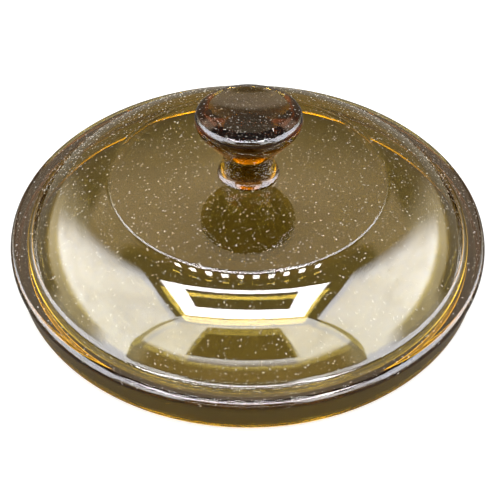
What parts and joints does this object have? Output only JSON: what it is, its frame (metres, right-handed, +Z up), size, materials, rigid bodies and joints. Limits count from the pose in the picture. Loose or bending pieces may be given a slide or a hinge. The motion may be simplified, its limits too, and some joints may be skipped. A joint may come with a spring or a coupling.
{
  "type": "glass casserole lid",
  "caption": "Round domed lid of smoky amber pressed glass, with a flat top disc, a gutter, a rounded flange over a standing skirt, and a solid dished glass knob fused to the middle.",
  "frame": {"origin": "centre of the ring that the skirt stands on", "axes": "+Z up along the axis of revolution, from the skirt to the knob; the lid is round, so +X and +Y are free"},
  "size_m": [0.2, 0.2, 0.0652],
  "materials": {
    "cover_glass": "smooth fire-polished smoky amber glass",
    "knob_glass": "smooth fire-polished smoky amber glass, darker because it is thicker"
  },
  "bodies": {
    "root": {"cover": "cover_glass", "knob": "knob_glass"}
  },
  "joints": []
}
